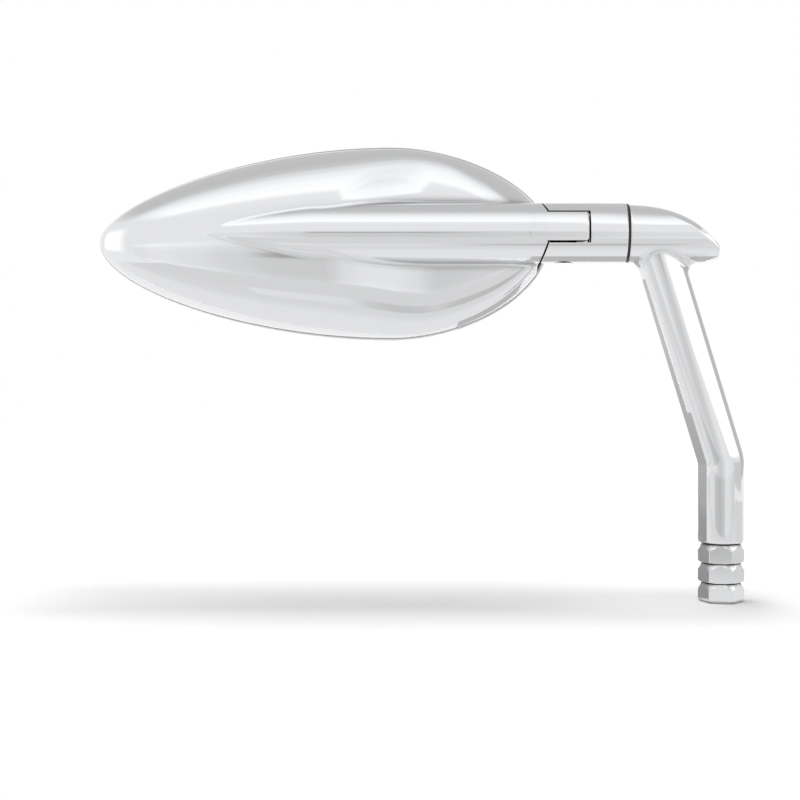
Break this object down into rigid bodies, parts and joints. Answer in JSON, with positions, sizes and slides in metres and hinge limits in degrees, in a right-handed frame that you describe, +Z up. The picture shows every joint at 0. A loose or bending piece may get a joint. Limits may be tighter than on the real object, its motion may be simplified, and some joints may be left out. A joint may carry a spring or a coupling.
{
  "type": "motorcycle mirror",
  "caption": "Teardrop handlebar mirror: a chromed head with a spear-shaped stem on a forked, swivelling knuckle, held by a bent round arm on a hexagonal threaded adapter.",
  "frame": {"origin": "mouth of the tapped hole in the underside of the foot adapter", "axes": "+Z up along the lower post, -X towards the far tip of the mirror head, +Y towards the rider, whom the glass faces"},
  "size_m": [0.2719, 0.0316, 0.1909],
  "materials": {
    "chrome": "polished",
    "adapter": "polished",
    "screw_steel": "blackened",
    "plain_steel": "satin",
    "bush_bronze": "satin",
    "black_nylon": "matte",
    "black_rubber": "matte",
    "mirror_glass": "polished",
    "plate_plastic": "matte"
  },
  "bodies": {
    "arm": {"arm": "chrome", "foot_adapter": "adapter", "foot_stud": "screw_steel", "swivel_friction_ring": "black_nylon", "swivel_flat_washer": "plain_steel", "swivel_spring_washers": "plain_steel", "swivel_screw": "screw_steel"},
    "knuckle": {"knuckle": "chrome", "pivot_screw": "screw_steel", "upper_pivot_washer": "black_nylon", "lower_pivot_washer": "black_nylon"},
    "head": {"housing": "chrome", "pivot_bush": "bush_bronze", "glass_gasket": "black_rubber", "bezel": "chrome", "mirror_glass": "mirror_glass", "foam_pad": "black_rubber", "backing_plate": "plate_plastic", "plate_screws": "plain_steel"}
  },
  "joints": [
    {"name": "swivel", "type": "hinge", "parent": "arm", "child": "knuckle", "pos_m": [-0.0395, 0, 0.153], "axis": [1, 0, 0], "continuous": true},
    {"name": "trim", "type": "hinge", "parent": "knuckle", "child": "head", "pos_m": [-0.0657, 0, 0.153], "axis": [0, 0, 1], "range_deg": [-3, 3]}
  ]
}
